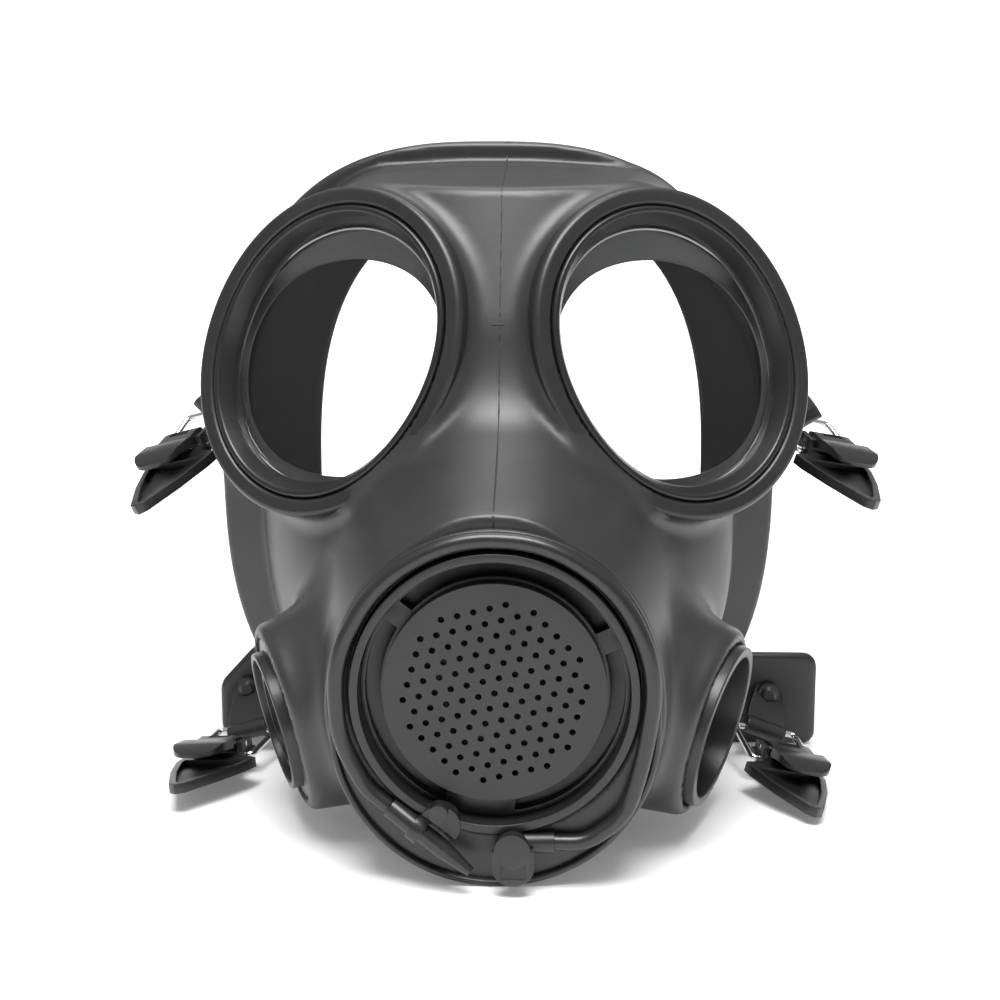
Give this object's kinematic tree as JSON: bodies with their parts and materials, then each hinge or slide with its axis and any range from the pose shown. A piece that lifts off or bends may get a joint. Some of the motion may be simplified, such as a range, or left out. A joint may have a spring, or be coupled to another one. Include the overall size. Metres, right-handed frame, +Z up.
{
  "type": "full face respirator",
  "caption": "Moulded rubber full face respirator with round eyepieces, central speech and exhale module, side filter port, drinking tube and quick-release harness buckles.",
  "frame": {"origin": "centre of the footprint on the ground plane, the mask standing on its chin and cheek tabs", "axes": "+Z up, -Y the way the face looks, +X towards the wearer's left (the filter port side)"},
  "size_m": [0.2212, 0.1336, 0.188],
  "materials": {
    "rubber": "matte moulded rubber",
    "soft_rubber": "matte soft rubber",
    "tube_rubber": "satin rubber tube",
    "lens_clear": "clear polished polycarbonate",
    "ring_plastic": "satin black",
    "black_plastic": "fine textured black",
    "buckle_plastic": "satin black",
    "stud_plastic": "satin black",
    "film": "thin tensioned film",
    "chrome_wire": "bright plated wire"
  },
  "bodies": {
    "mask": {"anchor_tab_lower_left": "rubber", "anchor_tab_lower_right": "rubber", "anchor_tab_upper_left": "rubber", "anchor_tab_upper_right": "rubber", "check_seat_left": "black_plastic", "check_seat_right": "black_plastic", "diaphragm_ring": "black_plastic", "drink_elbow": "black_plastic", "drink_plug": "tube_rubber", "drink_tube": "tube_rubber", "exhale_valve_seat": "black_plastic", "eye_ring_left": "ring_plastic", "eye_ring_right": "ring_plastic", "face_seal": "rubber", "facepiece": "rubber", "filter_port": "black_plastic", "harness_studs": "stud_plastic", "inlet_valve_seat": "black_plastic", "lens_left": "lens_clear", "lens_right": "lens_clear", "module_housing": "black_plastic", "module_nut": "black_plastic", "orinasal_cup": "soft_rubber", "outlet_ring": "black_plastic", "perforated_cover": "black_plastic", "plug_holder": "black_plastic", "side_transmitter_body": "black_plastic", "side_transmitter_cap": "black_plastic", "side_transmitter_diaphragm": "film", "side_transmitter_ring": "black_plastic", "side_transmitter_spacer": "black_plastic", "speech_diaphragm": "film"},
    "exhale_flap": {"exhale_valve_flap": "soft_rubber"},
    "inlet_flap": {"inlet_valve_flap": "soft_rubber"},
    "check_valve_left": {"check_flap_left": "soft_rubber"},
    "check_valve_right": {"check_flap_right": "soft_rubber"},
    "drink_turner": {"drink_lever": "black_plastic", "mouthpiece_tube": "tube_rubber"},
    "loop_upper_left": {"wire_loop_upper_left": "chrome_wire"},
    "base_upper_left": {"buckle_base_upper_left": "buckle_plastic", "lever_pin_upper_left": "chrome_wire"},
    "lever_upper_left": {"buckle_lever_upper_left": "buckle_plastic"},
    "loop_upper_right": {"wire_loop_upper_right": "chrome_wire"},
    "base_upper_right": {"buckle_base_upper_right": "buckle_plastic", "lever_pin_upper_right": "chrome_wire"},
    "lever_upper_right": {"buckle_lever_upper_right": "buckle_plastic"},
    "loop_lower_left": {"wire_loop_lower_left": "chrome_wire"},
    "base_lower_left": {"buckle_base_lower_left": "buckle_plastic", "lever_pin_lower_left": "chrome_wire"},
    "lever_lower_left": {"buckle_lever_lower_left": "buckle_plastic"},
    "loop_lower_right": {"wire_loop_lower_right": "chrome_wire"},
    "base_lower_right": {"buckle_base_lower_right": "buckle_plastic", "lever_pin_lower_right": "chrome_wire"},
    "lever_lower_right": {"buckle_lever_lower_right": "buckle_plastic"}
  },
  "joints": [
    {"name": "exhale_flap_lift", "type": "slide", "parent": "mask", "child": "exhale_flap", "axis": [0, -1, 0], "range_m": [0, 0.0018], "stiffness_N_per_m": 20},
    {"name": "inlet_flap_lift", "type": "slide", "parent": "mask", "child": "inlet_flap", "axis": [-0.9182, 0.3306, 0.2181], "range_m": [0, 0.0018], "stiffness_N_per_m": 20},
    {"name": "check_flap_lift_right", "type": "slide", "parent": "mask", "child": "check_valve_right", "axis": [-0.8591, 0.3197, -0.3996], "range_m": [0, 0.0012], "stiffness_N_per_m": 12},
    {"name": "check_flap_lift_left", "type": "slide", "parent": "mask", "child": "check_valve_left", "axis": [0.8591, 0.3197, -0.3996], "range_m": [0, 0.0012], "stiffness_N_per_m": 12},
    {"name": "drink_lever_turn", "type": "hinge", "parent": "mask", "child": "drink_turner", "pos_m": [0.00587, -0.06253, 0.0128], "axis": [0, -1, 0], "range_deg": [0, 60]},
    {"name": "loop_swing_upper_left", "type": "hinge", "parent": "mask", "child": "loop_upper_left", "pos_m": [-0.09173, 0.05985, 0.10448], "axis": [-0.8749, 0.4038, -0.2673], "range_deg": [-10, 15]},
    {"name": "buckle_swing_upper_left", "type": "hinge", "parent": "loop_upper_left", "child": "base_upper_left", "pos_m": [-0.09649, 0.04369, 0.09564], "axis": [-0.8749, 0.4038, -0.2673], "range_deg": [-12, 20]},
    {"name": "lever_open_upper_left", "type": "hinge", "parent": "base_upper_left", "child": "lever_upper_left", "pos_m": [-0.09766, 0.04326, 0.09882], "axis": [-0.8749, 0.4038, -0.2673], "range_deg": [0, 65]},
    {"name": "loop_swing_upper_right", "type": "hinge", "parent": "mask", "child": "loop_upper_right", "pos_m": [0.09069, 0.0623, 0.10294], "axis": [-0.8934, -0.3991, 0.2062], "range_deg": [-10, 15]},
    {"name": "buckle_swing_upper_right", "type": "hinge", "parent": "loop_upper_right", "child": "base_upper_right", "pos_m": [0.09641, 0.0457, 0.09561], "axis": [-0.8934, -0.3991, 0.2062], "range_deg": [-12, 20]},
    {"name": "lever_open_upper_right", "type": "hinge", "parent": "base_upper_right", "child": "lever_upper_right", "pos_m": [0.09728, 0.04548, 0.0989], "axis": [-0.8934, -0.3991, 0.2062], "range_deg": [0, 65]},
    {"name": "loop_swing_lower_left", "type": "hinge", "parent": "mask", "child": "loop_lower_left", "pos_m": [-0.08021, 0.04137, 0.0069], "axis": [-0.9551, 0.2662, -0.1301], "range_deg": [-10, 15]},
    {"name": "buckle_swing_lower_left", "type": "hinge", "parent": "loop_lower_left", "child": "base_lower_left", "pos_m": [-0.08509, 0.02306, 0.00526], "axis": [-0.9551, 0.2662, -0.1301], "range_deg": [-12, 20]},
    {"name": "lever_open_lower_left", "type": "hinge", "parent": "base_lower_left", "child": "lever_lower_left", "pos_m": [-0.08538, 0.02368, 0.00861], "axis": [-0.9551, 0.2662, -0.1301], "range_deg": [0, 65]},
    {"name": "loop_swing_lower_right", "type": "hinge", "parent": "mask", "child": "loop_lower_right", "pos_m": [0.08019, 0.04097, 0.00944], "axis": [-0.9359, -0.2529, 0.2452], "range_deg": [-10, 15]},
    {"name": "buckle_swing_lower_right", "type": "hinge", "parent": "loop_lower_right", "child": "base_lower_right", "pos_m": [0.08407, 0.02277, 0.0055], "axis": [-0.9359, -0.2529, 0.2452], "range_deg": [-12, 20]},
    {"name": "lever_open_lower_right", "type": "hinge", "parent": "base_lower_right", "child": "lever_lower_right", "pos_m": [0.08486, 0.02307, 0.00881], "axis": [-0.9359, -0.2529, 0.2452], "range_deg": [0, 65]}
  ]
}
